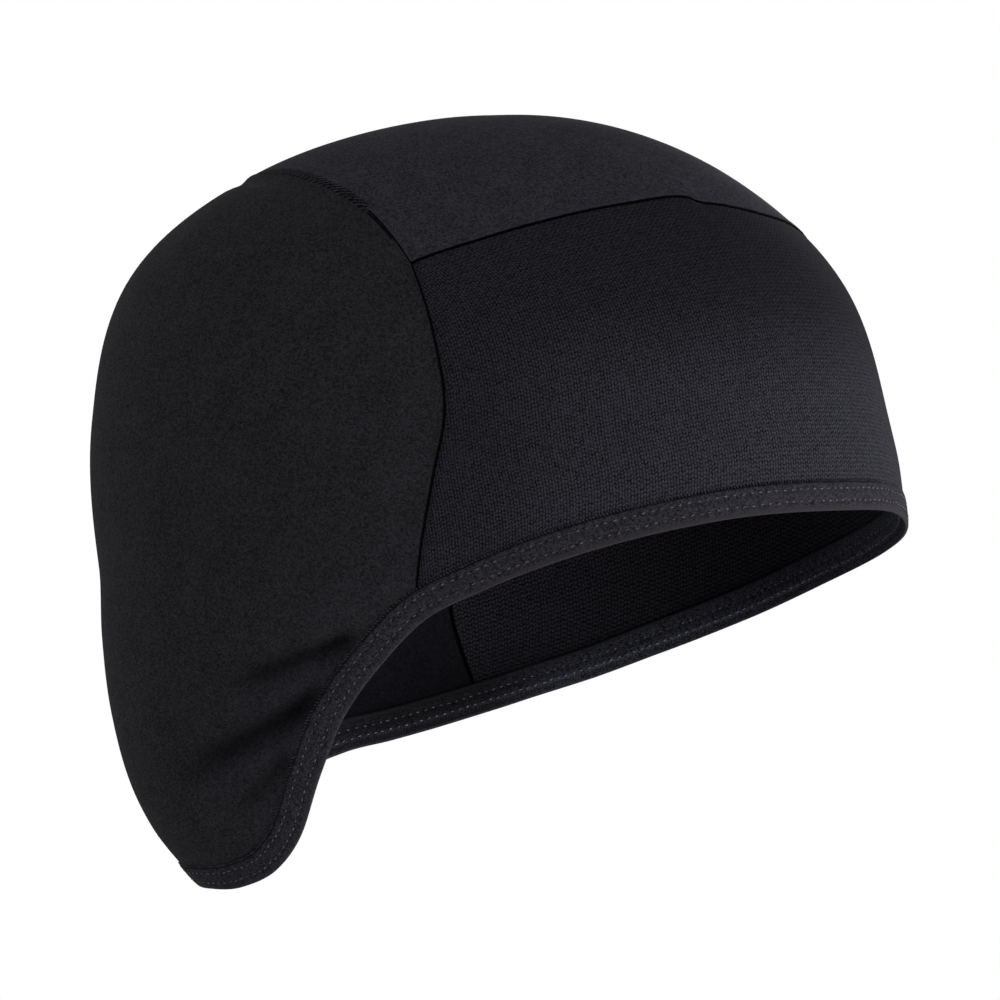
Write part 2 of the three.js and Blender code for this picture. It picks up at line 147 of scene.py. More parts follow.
# Cloth and its edge. The binding draws the cloth in, so that its outer face lies level with it.
CLOTH = 1.2
SEAM_LAP = 0.08
BINDING_LEG = 0.5
BINDING_GAP = 0.06
BINDING_WIDTH = 6.7
INSIDE_WIDTH = 9
PANEL_EDGE = 2.4
BORDER_OUTSIDE = 0.1
EDGE_DRAW_IN = 0.6
EDGE_DRAW_FULL = 4
EDGE_DRAW_NONE = 18
EDGE_SEARCH_DROP = 25
EDGE_SAMPLES = 640

# Sampling of curves, slopes and meshes, in millimetres and degrees
CURVE_SAMPLES = 240
SMALL_ANGLE = 0.05
LEAST_DROP = 0.5
AT_ONCE = 20000
GRADED_SHARE = 0.12


# The form of the cloth


def smooth_step(value):
    t = np.clip(value, 0, 1)
    return t * t * (3 - 2 * t)


def swell(distance, width, height, middle=0):
    """A soft wave with a half width and a height, round a middle."""
    return height * np.exp(-(((distance - middle) / width) ** 2))


def read_table(rows, name, key):
    """One column of a table at a key between its rows, on a smooth curve that starts level."""
    keys = next(iter(rows.values()))
    values = rows[name]
    slopes = np.zeros(len(keys))
    slopes[1:-1] = (values[2:] - values[:-2]) / (keys[2:] - keys[:-2])
    slopes[-1] = (values[-1] - values[-2]) / (keys[-1] - keys[-2])
    at = np.clip(key, keys[0], keys[-1])
    low = np.clip(np.searchsorted(keys, at, side="right") - 1, 0, len(keys) - 2)
    step = keys[low + 1] - keys[low]
    t = (at - keys[low]) / step
    rest = 1 - t
    ends = values[low] * (1 + 2 * t) * rest**2 + values[low + 1] * t**2 * (3 - 2 * t)
    return ends + step * t * rest * (slopes[low] * rest - slopes[low + 1] * t)


def head_reach(bearing, drop):
    """Distance from the middle of the head to the inside of the cloth."""
    cosine = np.cos(np.radians(bearing))
    sine = np.abs(np.sin(np.radians(bearing)))
    is_front = cosine > 0
    names = ("front", "back", "side")
    front, back, side = (read_table(HEAD_FORM, name, drop) for name in names)
    end = np.where(is_front, front, back)
    squareness = np.where(is_front, FOREHEAD_SQUARENESS, BACK_SQUARENESS)
    power = 2 + (squareness - 2) * smooth_step(drop / ROUND_CROWN_DROP)
    return (np.abs(cosine / end) ** power + (sine / side) ** power) ** (-1 / power)


def plain_point(bearing, drop):
    """The inside of the cloth before any fold."""
    around = np.radians(bearing)
    down = np.radians(drop)
    reach = head_reach(bearing, drop)
    level = reach * np.sin(down)
    offset = (level * np.sin(around), -level * np.cos(around), reach * np.cos(down))
    return CENTRE + np.stack(offset, axis=-1)


def hem_drop(bearing):
    right = read_table(HEM, "right", np.abs(bearing))
    left = read_table(HEM, "left", np.abs(bearing))
    return np.where(np.asarray(bearing) < 0, right, left)


def unit(vectors):
    return vectors / np.linalg.norm(vectors, axis=-1, keepdims=True)


def dot(a, b):
    return (a * b).sum(axis=-1)


def surface_frame(bearing, drop):
    """How the cloth runs with the bearing and with the drop, and its outward direction."""
    safe = np.maximum(drop, LEAST_DROP)
    turn = plain_point(bearing + SMALL_ANGLE, safe) - plain_point(bearing - SMALL_ANGLE, safe)
    fall = plain_point(bearing, safe + SMALL_ANGLE) - plain_point(bearing, safe - SMALL_ANGLE)
    return turn / (2 * SMALL_ANGLE), fall / (2 * SMALL_ANGLE), unit(np.cross(fall, turn))


def inside_hem(bearing, distance):
    """The bearing and drop of places inside the edge, at a distance square to it on the cloth."""
    drop = hem_drop(bearing)
    ahead = plain_point(bearing + SMALL_ANGLE, hem_drop(bearing + SMALL_ANGLE))
    behind = plain_point(bearing - SMALL_ANGLE, hem_drop(bearing - SMALL_ANGLE))
    turn, fall, outward = surface_frame(bearing, drop)
    inward = np.cross(outward, unit(ahead - behind))
    inward = np.where((dot(inward, fall) > 0)[..., None], -inward, inward)
    steps = np.linalg.pinv(np.stack((turn, fall), axis=-1)) @ inward[..., None]
    return bearing + distance * steps[..., 0, 0], drop + distance * steps[..., 1, 0]


def line_lengths(line):
    """The length along a line of points up to each of them."""
    return np.concatenate(([0], np.cumsum(np.linalg.norm(np.diff(line, axis=0), axis=1))))


def nearest_on_line(points, line):
    """For each point, its distance from a line of points and the length along it to there."""
    lengths = line_lengths(line)
    starts = line[:-1]
    steps = line[1:] - starts
    squares = dot(steps, steps)
    distance = np.full(len(points), np.inf)
    along = np.zeros(len(points))
    for first in range(0, len(points), AT_ONCE):
        these = slice(first, first + AT_ONCE)
        part = points[these]
        corner = ((part[:, None] - line[None]) ** 2).sum(-1).argmin(1)
        for piece in (np.maximum(corner - 1, 0), np.minimum(corner, len(starts) - 1)):
            share = np.clip(dot(part - starts[piece], steps[piece]) / squares[piece], 0, 1)
            off = np.linalg.norm(part - starts[piece] - share[:, None] * steps[piece], axis=1)
            here = lengths[piece] + share * (lengths[piece + 1] - lengths[piece])
            along[these] = np.where(off < distance[these], here, along[these])
            distance[these] = np.minimum(off, distance[these])
    return distance, along


edge_bearings = np.linspace(-180, 180, EDGE_SAMPLES + 1)
edge_line = plain_point(edge_bearings, hem_drop(edge_bearings))


def fold_line(fold):
    """The points of a fold's curve through its three places."""
    share = np.linspace(0, 1, FOLD_PIECES + 1)[:, None]
    start, middle, end = np.array(fold.places, float)
    rest = 1 - share
    places = rest * (rest - share) * start + share * (share - rest) * end
    places += 4 * rest * share * middle
    return plain_point(places[:, 0], places[:, 1])


fold_lines = [fold_line(fold) for fold in FOLDS]


def fold_effects(points):
    """How far the folds push the cloth in, the painted shade above them and the painted highlight
    below.

    The painted shade goes from 0 in the dark to 1. Each fold is worked out only for the points near
    it."""
    depth, gleam = np.zeros((2, len(points)))
    shade = np.ones(len(points))
    for fold, line in zip(FOLDS, fold_lines):
        lengths = line_lengths(line)
        reach = lengths[-1] + FOLD_REACH_WIDTHS * max(fold.widths)
        near = np.linalg.norm(points - line[FOLD_PIECES // 2], axis=1) < reach
        distance, along = nearest_on_line(points[near], line)
        is_above = points[near][:, 2] > np.interp(along, lengths, line[:, 2])
        above = np.where(is_above, distance, -distance)
        share = along / lengths[-1]
        rise = smooth_step(FOLD_START_SHARE + share / FOLD_RISE_LENGTH)
        strength = rise * smooth_step((1 - share) / FOLD_FADE_LENGTH)
        dark = fold.dark * strength
        depth[near] += swell(above, np.where(above > 0, *fold.widths), fold.depth * strength)
        shade[near] *= 1 - swell(above, fold.dark_half_width, dark, FOLD_SHADE_ABOVE)
        gleam[near] += swell(above, PAINTED_HIGHLIGHT_HALF_WIDTH, fold.gleam * strength, -PAINTED_HIGHLIGHT_BELOW)
    return depth, shade, gleam


def read_map(places):
    """The bearing and drop of places on the map."""
    x, y = places[..., 0], places[..., 1]
    return np.degrees(np.arctan2(x, y)), np.hypot(x, y)


def map_place(bearing, drop):
    around = np.radians(bearing)
    return np.stack((drop * np.sin(around), drop * np.cos(around)), axis=-1)


def cloth_surface(places):
    """The inside of the cloth at places on the map, and its outward direction there.

    The direction is that before any fold, so walls keep nearly their thickness."""
    bearing, drop = read_map(places.reshape(-1, 2))
    point = plain_point(bearing, drop)
    to_edge = np.full(len(point), float(EDGE_DRAW_NONE))
    near = hem_drop(bearing) - drop < EDGE_SEARCH_DROP
    to_edge[near], _ = nearest_on_line(point[near], edge_line)
    draw = smooth_step((EDGE_DRAW_NONE - to_edge) / (EDGE_DRAW_NONE - EDGE_DRAW_FULL))
    shown = smooth_step((to_edge - BINDING_WIDTH) / FOLD_FADE_AT_EDGE)
    inwards = EDGE_DRAW_IN * draw + fold_effects(point)[0] * shown
    outward = surface_frame(bearing, drop)[2]
    point = point - outward * inwards[:, None]
    shape = (*places.shape[:-1], 3)
    return point.reshape(shape), outward.reshape(shape)


# Curves on the map


def spline(controls):
    """A smooth curve through its control places."""
    controls = np.array(controls, float)
    padded = np.concatenate((controls[:1], controls, controls[-1:]))
    at = np.linspace(0, len(controls) - 1, CURVE_SAMPLES + 1)
    piece = np.minimum(at.astype(int), len(controls) - 2)
    t = (at - piece)[:, None]
    before, start, end, after = (padded[piece + step] for step in range(4))
    leave = (end - before) / 2
    arrive = (after - start) / 2
    rise = 2 * (start - end) + leave + arrive
    bend = -3 * (start - end) - 2 * leave - arrive
    return ((rise * t + bend) * t + leave) * t + start


def by_length(places):
    """A curve that is read by its share of length on the cloth, and straight past its ends."""
    lengths = line_lengths(cloth_surface(places)[0])

    def read(share):
        wanted = np.clip(share, 0, 1) * lengths[-1]
        place = np.stack([np.interp(wanted, lengths, column) for column in places.T], axis=-1)
        beyond = (share * lengths[-1] - wanted)[..., None]
        first = (places[1] - places[0]) / lengths[1]
        last = (places[-1] - places[-2]) / (lengths[-1] - lengths[-2])
        return place + np.where(beyond < 0, first, last) * beyond

    return read


def hem_place(bearing, distance=PANEL_EDGE):
    """The place inside the edge at a bearing, by default where the panels end."""
    return map_place(*inside_hem(bearing, distance))


def hem_curve(start, end):
    return by_length(hem_place(np.linspace(start, end, CURVE_SAMPLES + 1)))


def side_seam_places(side):
    foot = hem_place(np.array(float(side * SIDE_SEAM_FOOT[side])))
    rows = [map_place(side * bearing, drop) for bearing, drop in SIDE_SEAM[side]]
    return spline([foot, *rows])


def crown_seam_places(side):
    return spline([map_place(side * bearing, drop) for bearing, drop in CROWN_SEAM])


def forehead_seam_places():
    seam = FOREHEAD_SEAM
    right = map_place(-seam["bearing"], seam["right"])
    left = map_place(seam["bearing"], seam["left"])
    return spline(np.concatenate((right, left[-2::-1])))


def back_seam_places():
    foot = hem_place(np.array(180.0))
    top = map_place(*np.array(CROWN_SEAM[-1], float))
    share = np.linspace(0, 1, CURVE_SAMPLES + 1)[:, None]
    return foot * (1 - share) + top * share


# Patches of the map between their seams


def four_sided(bottom, top, start, end):
    """A patch between four curves that meet at their ends."""
    corners = [curve(np.array(share)) for curve in (bottom, top) for share in (0.0, 1.0)]

    def read(u, v):
        across = u[..., None]
        up = v[..., None]
        place = bottom(u) * (1 - up) + top(u) * up + start(v) * (1 - across) + end(v) * across
        place -= corners[0] * (1 - across) * (1 - up) + corners[1] * across * (1 - up)
        return place - corners[2] * (1 - across) * up - corners[3] * across * up

    return read


def side_patch(side):
    bottom = hem_curve(side * SIDE_SEAM_FOOT[side], side * 180)
    seams = (crown_seam_places(side), side_seam_places(side), back_seam_places())
    return four_sided(bottom, *map(by_length, seams))


def forehead_patch():
    bottom = hem_curve(-SIDE_SEAM_FOOT[RIGHT], SIDE_SEAM_FOOT[LEFT])
    seams = (forehead_seam_places(), side_seam_places(RIGHT), side_seam_places(LEFT))
    return four_sided(bottom, *map(by_length, seams))


def top_patch():
    """The top panel is a lens with a point at each corner of the forehead panel."""
    front = by_length(forehead_seam_places())
    left = crown_seam_places(LEFT)[-2::-1]
    back = by_length(np.concatenate((crown_seam_places(RIGHT), left)))
    return lambda u, v: back(u) * v[..., None] + front(u) * (1 - v[..., None])


# Meshes


def graded(cells, finest):
    """Shares from 0 to 1 in steps that shrink towards both ends, down to the finest."""
    middle = (np.arange(cells) + 0.5) / cells
    to_end = np.minimum(middle, 1 - middle)
    steps = finest + (1 - finest) * smooth_step(to_end / GRADED_SHARE)
    shares = np.concatenate(([0], np.cumsum(steps)))
    return shares / shares[-1]


def make_object(name, points, faces, *materials):
    """A smooth mesh object from points in millimetres."""
    points = points.reshape(-1, 3)
    mesh = bpy.data.meshes.new(name)
    mesh.vertices.add(len(points))
    mesh.vertices.foreach_set("co", (points * MM).ravel())
    mesh.loops.add(faces.size)
    mesh.loops.foreach_set("vertex_index", faces.ravel())
    mesh.polygons.add(len(faces))
    mesh.polygons.foreach_set("loop_start", np.arange(0, faces.size, faces.shape[1]))
    mesh.polygons.foreach_set("use_smooth", np.ones(len(faces), bool))
    mesh.update(calc_edges=True)
    for material in materials:
        mesh.materials.append(material)
    obj = bpy.data.objects.new(name, mesh)
    bpy.context.scene.collection.objects.link(obj)
    return obj


def add_cloth_map(obj, positions):
    """A UV map that holds each point's place on the cloth, in millimetres."""
    mesh = obj.data
    layer = mesh.uv_layers.new(name="Cloth")
    corners = np.empty(len(mesh.loops), int)
    mesh.loops.foreach_get("vertex_index", corners)
    layer.data.foreach_set("uv", positions.reshape(-1, 2)[corners].ravel())


def add_point_values(obj, **values):
    """Numbers for the points, which the materials read by their names."""
    for name, value in values.items():
        layer = obj.data.attributes.new(name, "FLOAT", "POINT")
        layer.data.foreach_set("value", np.array(value, np.float32).ravel())


def quads(*corners):
    """Faces from the points at each of their four corners."""
    return np.stack(corners, axis=-1).reshape(-1, 4)


def wall_faces(columns, rows):
    """The faces of a closed wall over a grid: its outside, its inside and its four edges."""
    index = np.arange(columns * rows).reshape(columns, rows)
    front = quads(index[:-1, :-1], index[1:, :-1], index[1:, 1:], index[:-1, 1:])
    ring = np.concatenate((index[:-1, 0], index[-1, :-1], index[:0:-1, -1], index[0, :0:-1]))
    after = np.roll(ring, -1)
    rim = quads(ring, ring + index.size, after + index.size, after)
    return np.concatenate((front, front[:, ::-1] + index.size, rim))


class PanelGrid:
    """The places of a panel's cells, with its distances from each edge in millimetres."""

    def __init__(self, patch, columns, rows, finest):
        u, v = np.meshgrid(graded(columns, finest[0]), graded(rows, finest[1]), indexing="ij")
        rough, _ = cloth_surface(patch(u, v))
        lap_u = SEAM_LAP / 2 / np.maximum(self.run(rough, 0)[-1:], 1)
        lap_v = SEAM_LAP / 2 / np.maximum(self.run(rough, 1)[:, -1:], 1)
        self.places = patch(u + lap_u * (2 * u - 1), v + lap_v * (2 * v - 1))
        self.points, self.outward = cloth_surface(self.places)
        # The folds' painted shade above them and painted highlight below them
        _, shade, gleam = fold_effects(plain_point(*read_map(self.places)).reshape(-1, 3))
        self.shade = shade.reshape(u.shape)
        self.gleam = gleam.reshape(u.shape)
        self.from_start = self.run(self.points, 0)
        self.from_bottom = self.run(self.points, 1)
        self.from_end = self.from_start[-1:] - self.from_start
        self.from_top = self.from_bottom[:, -1:] - self.from_bottom
        middle = self.from_start[columns // 2]
        self.cloth = np.stack((self.from_start - middle, self.from_bottom), axis=-1)

    @staticmethod
    def run(points, axis):
        """The length along each row or column of a grid of points."""
        steps = np.linalg.norm(np.diff(points, axis=axis), axis=-1)
        lengths = np.cumsum(steps, axis=axis)
        return np.insert(lengths, 0, 0, axis=axis)

    def to_border(self):
        """Distance from the line of the binding's border, along the bottom of the panel."""
        off_border = np.abs(self.from_bottom + PANEL_EDGE - BINDING_WIDTH - BORDER_OUTSIDE)
        return BORDER_SEAM_SHARE * off_border

    def build(self, name, materials, outer, inner, to_seam, to_border):
        """The wall of cloth, with its two faces and materials, the outer one first."""
        points = self.points + self.outward * np.array((outer, inner))[..., None]
        columns, rows = outer.shape
        faces = wall_faces(columns, rows)
        obj = make_object(name, points, faces, *materials)
        cells = (columns - 1) * (rows - 1)
        is_inside = np.arange(len(faces)) // cells == 1
        obj.data.polygons.foreach_set("material_index", is_inside.astype(int))
        add_cloth_map(obj, np.array((self.cloth, self.cloth)))
        # Painted shade over the folds and painted highlight under them, on the outer face only, and
        # the distances to the seams and the binding's border, where painted shade falls
        shade = (self.shade, np.ones(outer.shape))
        gleam = (self.gleam, np.zeros(outer.shape))
        seam = (np.minimum(to_seam, to_border), to_seam * INSIDE_SEAM_SHARE)
        add_point_values(obj, Shade=shade, Gleam=gleam, Seam=seam)
        return obj


def rolled(distance, radius, depth):
    """How far an edge of cloth has rolled down at a distance from it."""
    t = 1 - np.clip(distance / radius, 0, 1)
    return -depth * (1 - np.sqrt(np.maximum(1 - t * t, 0)))


# Materials. The constants stand on the shader's own sockets.


class Nodes:
    """Short ways to add nodes to a tree. Each input gets a value, or the output to link it to."""

    def __init__(self, tree):
        self.tree = tree

    def feed(self, node, inputs):
        for key, value in inputs.items():
            if isinstance(value, bpy.types.NodeSocket):
                self.tree.links.new(value, node.inputs[key])
            else:
                node.inputs[key].default_value = value

    def add(self, kind, inputs, **settings):
        """Adds a node with its inputs, and gives back its outputs."""
        node = self.tree.nodes.new(kind)
        for key, value in settings.items():
            setattr(node, key, value)
        self.feed(node, inputs)
        return node.outputs

    def math(self, operation, *values):
        return self.add("ShaderNodeMath", dict(enumerate(values)), operation=operation)[0]

    def times(self, first, second):
        return self.math("MULTIPLY", first, second)

    def plus(self, first, second):
        return self.math("ADD", first, second)


class MaterialNodes(Nodes):
    """A new material and short ways to add what it needs."""

    def __init__(self, name):
        self.material = bpy.data.materials.new(name)
        self.material.use_nodes = True
        super().__init__(self.material.node_tree)
        self.shader = self.tree.nodes["Principled BSDF"]

    def mix(self, share, low, high):
        inputs = {"Factor": share, "A": low, "B": high}
        return self.add("ShaderNodeMix", inputs, data_type="RGBA")["Result"]

    def spread(self, value, low, high):
        """Maps the range from low to high to the range from 0 to 1."""
        inputs = {"Value": value, "From Min": low, "From Max": high}
        return self.add("ShaderNodeMapRange", inputs)["Result"]

    def blend(self, first, share, second, rest):
        """Two patterns added up, each by its share."""
        return self.plus(self.times(first, share), self.times(second, rest))

    def lightness(self, first, second, shares, shown):
        return self.spread(self.blend(first, shares[0], second, shares[1]), *shown)

    def point_value(self, name):
        return self.add("ShaderNodeAttribute", {}, attribute_name=name)["Fac"]

    def cloth_place(self):
        """The place on the cloth in millimetres."""
        return self.add("ShaderNodeUVMap", {}, uv_map="Cloth")["UV"]

    def object_place(self):
        return self.add("ShaderNodeTexCoord", {})["Object"]

    def noise(self, vector, size):
        """Noise with grains of a size in the units of its vector."""
        return self.add("ShaderNodeTexNoise", {"Vector": vector, "Scale": 1 / size})["Fac"]

    def grains(self, size):
        """A random value for each small cell of space, of a size in millimetres."""
        inputs = {"Vector": self.object_place(), "Scale": 1 / (size * MM)}
        return self.add("ShaderNodeTexVoronoi", inputs)["Color"]

    def with_lint(self, place, colour):
        """A colour with a few specks of lint on it."""
        inputs = {"Vector": place, "Scale": 1 / LINT_SPACING}
        dots = self.add("ShaderNodeTexVoronoi", inputs, voronoi_dimensions="2D")
        is_lint = self.math("LESS_THAN", dots["Distance"], LINT_RADIUS / LINT_SPACING)
        return self.mix(is_lint, colour, LINT_COLOUR)

    def finish(self, place, colour, height, depth, sheen):
        """Adds what every cloth has: relief, lint, sheen, and painted shade in its seams and over
        its folds.
        """
        bump = self.add("ShaderNodeBump", {"Height": height, "Distance": depth * MM})
        # Painted shade: near black in the seams' furrows, and darker where the Shade value is low
        seam = self.spread(self.point_value("Seam"), *SEAM_DARK_RANGE)
        light = self.times(seam, self.point_value("Shade"))
        inputs = {
            "Normal": bump["Normal"],
            "Base Color": self.mix(light, PAINTED_SHADE_COLOUR, self.with_lint(place, colour)),
            "Roughness": CLOTH_ROUGHNESS,
            "Specular IOR Level": CLOTH_SPECULAR,
            "Sheen Weight": sheen,
            "Sheen Roughness": SHEEN_ROUGHNESS,
            "Sheen Tint": SHEEN_TINT,
        }
        self.feed(self.shader, inputs)
        return self.material


def linear(red, green, blue):
    """A colour for a socket, from the 0 to 255 values that a screen shows."""
    shares = np.array((red, green, blue)) / 255
    light = np.where(shares <= 0.04045, shares / 12.92, ((shares + 0.055) / 1.055) ** 2.4)
    return (*light.tolist(), 1)


CLOTH_ROUGHNESS = 0.95
CLOTH_SPECULAR = 0.02
SHEEN = 0.03
INSIDE_SHEEN = 0.01
SHEEN_ROUGHNESS = 0.3
SHEEN_TINT = (0.85, 0.86, 0.95, 1)
# The colour of painted shade, and the distances from a seam over which its painted shade fades
PAINTED_SHADE_COLOUR = (0.0004, 0.0004, 0.0004, 1)
SEAM_DARK_RANGE = (0.24, 0.52)
INSIDE_SEAM_SHARE = 0.65
BORDER_SEAM_SHARE = 1.3
LINT_SPACING = 17
LINT_RADIUS = 0.13
LINT_COLOUR = (0.045, 0.045, 0.05, 1)
GRAIN_SIZE = 0.36

# The shares of two patterns in how light a cloth is, and the range of their sum that is shown
BRUSHED_LIGHTNESS = ((0.8, 0.3), (0.15, 0.95))
RIBBED_LIGHTNESS = ((0.58, 0.42), (0.26, 0.9))
HEATHER_LIGHTNESS = ((0.8, 0.2), (0.2, 1))

# Sizes are in millimetres. The knit pitches are those of its columns and of its stitches.
MOTTLE_SIZE = 11
BRUSHED_DEPTH = 0.1
FLECK_SIZE = 0.3
HEATHER_SIZE = 0.6
HEATHER_DEPTH = 0.06
KNIT_PITCHES = (0.7, 0.98)
INSIDE_KNIT_PITCHES = (0.9, 1.2)
KNIT_DRIFT = 0.5
KNIT_DRIFT_SIZE = 4
COLUMN_OFFSET = 0.3
THREAD_CHANGE = 1.6
THREAD_RANGE = (0.4, 0.6)
THREAD_DIM = 0.42
THREAD_ROUGHNESS = 0.6
THREAD_SPECULAR = 0.15
# The painted shade of the puckers where the cloth is gathered into the crown seam
PUCKER_PITCH = 1.7
PUCKER_SLANT = 1.1
PUCKER_REACH = (1.9, 1.3)
PUCKER_DRIFT = 1.5
PUCKER_DRIFT_SIZE = 4
PUCKER_RANGE = (-0.3, 0.5)
PUCKER_DARK = 0.95


def gathered_painted_shade(nodes, place):
    """The painted shade of slanted puckers where the cloth is gathered into a seam, from 0 in full
    painted shade to 1 with none.
    """
    along = nodes.point_value("Along")
    across = nodes.point_value("Across")
    slanted = nodes.math("SUBTRACT", along, nodes.times(across, PUCKER_SLANT))
    uneven = nodes.times(nodes.noise(place, PUCKER_DRIFT_SIZE), PUCKER_DRIFT)
    turn = nodes.times(nodes.plus(slanted, uneven), 2 * math.pi / PUCKER_PITCH)
    stroke = nodes.spread(nodes.math("SINE", turn), *PUCKER_RANGE)
    reach = nodes.spread(nodes.math("ABSOLUTE", across), *PUCKER_REACH)
    strength = nodes.times(nodes.times(reach, nodes.point_value("Gather")), PUCKER_DARK)
    return nodes.math("SUBTRACT", 1, nodes.times(stroke, strength))


def brushed_cloth(name, dark, light, sheen=SHEEN, is_gathered=False):
    """A smooth matt jersey with a faint grain."""
    nodes = MaterialNodes(name)
    place = nodes.cloth_place()
    mottle = nodes.noise(place, MOTTLE_SIZE)
    lightness = nodes.lightness(nodes.grains(GRAIN_SIZE), mottle, *BRUSHED_LIGHTNESS)
    # Painted highlight: where the cloth has painted light, its colour turns to the lighter, bluer
    # highlight colours
    gleam = nodes.mix(lightness, *PAINTED_HIGHLIGHT_COLOURS)
    colour = nodes.mix(nodes.point_value("Gleam"), nodes.mix(lightness, dark, light), gleam)
    # Painted shade in the slanted puckers where the cloth is gathered
    if is_gathered:
        colour = nodes.mix(gathered_painted_shade(nodes, place), PAINTED_SHADE_COLOUR, colour)
    return nodes.finish(place, colour, mottle, BRUSHED_DEPTH, sheen)


def ribbed_cloth(name, dark, lights, pitches, column_share, depth, sheen=SHEEN):
    """A rib knit: fine columns of stitches, every second column set off from the others.

    The two lights are its light colours where it has painted shade and where it has painted light."""
    nodes = MaterialNodes(name)
    place = nodes.cloth_place()
    drift = nodes.math("SUBTRACT", nodes.noise(place, KNIT_DRIFT_SIZE), 0.5)
    drift = nodes.times(drift, KNIT_DRIFT)
    parts = nodes.add("ShaderNodeSeparateXYZ", {0: place})
    column = nodes.math("DIVIDE", nodes.plus(parts["X"], drift), pitches[0])
    row = nodes.math("DIVIDE", nodes.plus(parts["Y"], drift), pitches[1])
    is_second = nodes.math("FLOORED_MODULO", nodes.math("FLOOR", column), 2)
    row = nodes.plus(row, nodes.times(is_second, COLUMN_OFFSET))

    def ridges(value):
        return nodes.math("ABSOLUTE", nodes.math("SINE", nodes.times(value, math.pi)))

    height = nodes.blend(ridges(column), column_share, ridges(row), 1 - column_share)
    lightness = nodes.lightness(height, nodes.grains(GRAIN_SIZE), *RIBBED_LIGHTNESS)
    colour = nodes.mix(lightness, dark, nodes.mix(nodes.point_value("Gleam"), *lights))
    return nodes.finish(place, colour, height, depth, sheen)


def heathered_cloth(name, dark, lights, smooth_colour, pale_colour):
    """The binding's knit, with light and dark flecks, and smooth where it is folded."""
    nodes = MaterialNodes(name)
    place = nodes.cloth_place()
    soft = nodes.noise(place, HEATHER_SIZE)
    lightness = nodes.lightness(nodes.grains(FLECK_SIZE), soft, *HEATHER_LIGHTNESS)
    # Painted light: the light flecks turn lighter where the binding has painted light, inside at
    # the front
    colour = nodes.mix(lightness, dark, nodes.mix(nodes.point_value("Gleam"), *lights))
    colour = nodes.mix(nodes.point_value("Pale"), colour, pale_colour)
    colour = nodes.mix(nodes.point_value("Smooth"), colour, smooth_colour)
    return nodes.finish(place, colour, soft, HEATHER_DEPTH, SHEEN)


def thread_material(name, colour, specular=THREAD_SPECULAR, sheen=SHEEN):
    nodes = MaterialNodes(name)
    grain = nodes.noise(nodes.object_place(), THREAD_CHANGE * MM)
    dim = (*(value * THREAD_DIM for value in colour[:3]), 1)
    inputs = {
        "Base Color": nodes.mix(nodes.spread(grain, *THREAD_RANGE), dim, colour),
        "Roughness": THREAD_ROUGHNESS,
        "Specular IOR Level": specular,
        "Sheen Weight": sheen,
    }
    nodes.feed(nodes.shader, inputs)
    return nodes.material


# The colours, dark before light
# The colours of the painted highlight, under the folds and along the top panel's turned edge
PAINTED_HIGHLIGHT_COLOURS = (linear(22, 24, 29), linear(45, 47, 53))
BRUSHED_COLOURS = (linear(14, 13, 15), linear(40, 39, 43))
BRUSHED_INSIDE_COLOURS = (linear(13, 13, 16), linear(33, 33, 39))
TOP_COLOURS = (linear(18, 17, 21), linear(49, 48, 54))
# The ribbed cloth's light colour under painted shade and under painted light
RIBBED_PAINTED_SHADE_AND_LIGHT = (linear(32, 31, 36), linear(46, 46, 52))
RIBBED_INSIDE_LIGHTS = (linear(52, 51, 58),) * 2
# The binding's light flecks, plain and where it has painted light inside at the front
BINDING_FLECKS_AND_PAINTED_LIGHT = (linear(50, 49, 55), linear(78, 80, 91))
BINDING_SMOOTH = linear(36, 34, 36)
BINDING_PALE = linear(50, 47, 51)

brushed = brushed_cloth("brushed_knit", *BRUSHED_COLOURS, is_gathered=True)
brushed_inside = brushed_cloth("brushed_knit_inside", *BRUSHED_INSIDE_COLOURS, INSIDE_SHEEN)
top_knit = brushed_cloth("top_knit", *TOP_COLOURS, is_gathered=True)
ribbed = ribbed_cloth("ribbed_knit", linear(2, 2, 3), RIBBED_PAINTED_SHADE_AND_LIGHT, KNIT_PITCHES, 0.5, 0.1)
inside_knit = (RIBBED_INSIDE_LIGHTS, INSIDE_KNIT_PITCHES, 0.35, 0.15, INSIDE_SHEEN)
ribbed_inside = ribbed_cloth("ribbed_knit_inside", linear(4, 4, 5), *inside_knit)
binding_colours = (linear(14, 13, 16), BINDING_FLECKS_AND_PAINTED_LIGHT, BINDING_SMOOTH, BINDING_PALE)
binding_knit = heathered_cloth("binding_knit", *binding_colours)
thread = thread_material("sewing_thread", linear(66, 66, 72))
inside_thread = thread_material("sewing_thread_inside", linear(88, 88, 95))
border_thread = thread_material("border_thread", linear(46, 45, 50), 0.05, 0.02)


# The four panels. Near its seams the cloth rolls down into a furrow, and the panel that lies on
# top stands a little over the other.

# Columns and rows of cells, and how fine they get at the edges
SIDE_CELLS = (380, 96, (0.18, 0.12))
FOREHEAD_CELLS = (400, 92, (0.18, 0.12))
TOP_CELLS = (380, 92, (0.4, 0.12))

# Half widths and depths of the furrows, and how the cloth lies at its seams
FURROW = (0.4, 0.8)
INSIDE_FURROW = (0.45, 0.3)
RIPPLE_PITCH = 2.3
RIPPLE_SLOWER = 3.7
RIPPLE_WANDER = 1.3
RIPPLE_CHANGE = 0.3
GATHER_START = 19
GATHER_FADE = 3
GATHER_FURROW_LOSS = 0.6
DOUBLED_START = 9
SECOND_LINE = 0.95
MM_PER_DEGREE = 1.63
TURNED_EDGE = 2.6
TURNED_FADE = 2
TURNED_HEIGHT = 0.2
TURNED_PAINTED_HIGHLIGHT = 0.6
CORNER_WIDTH = 8

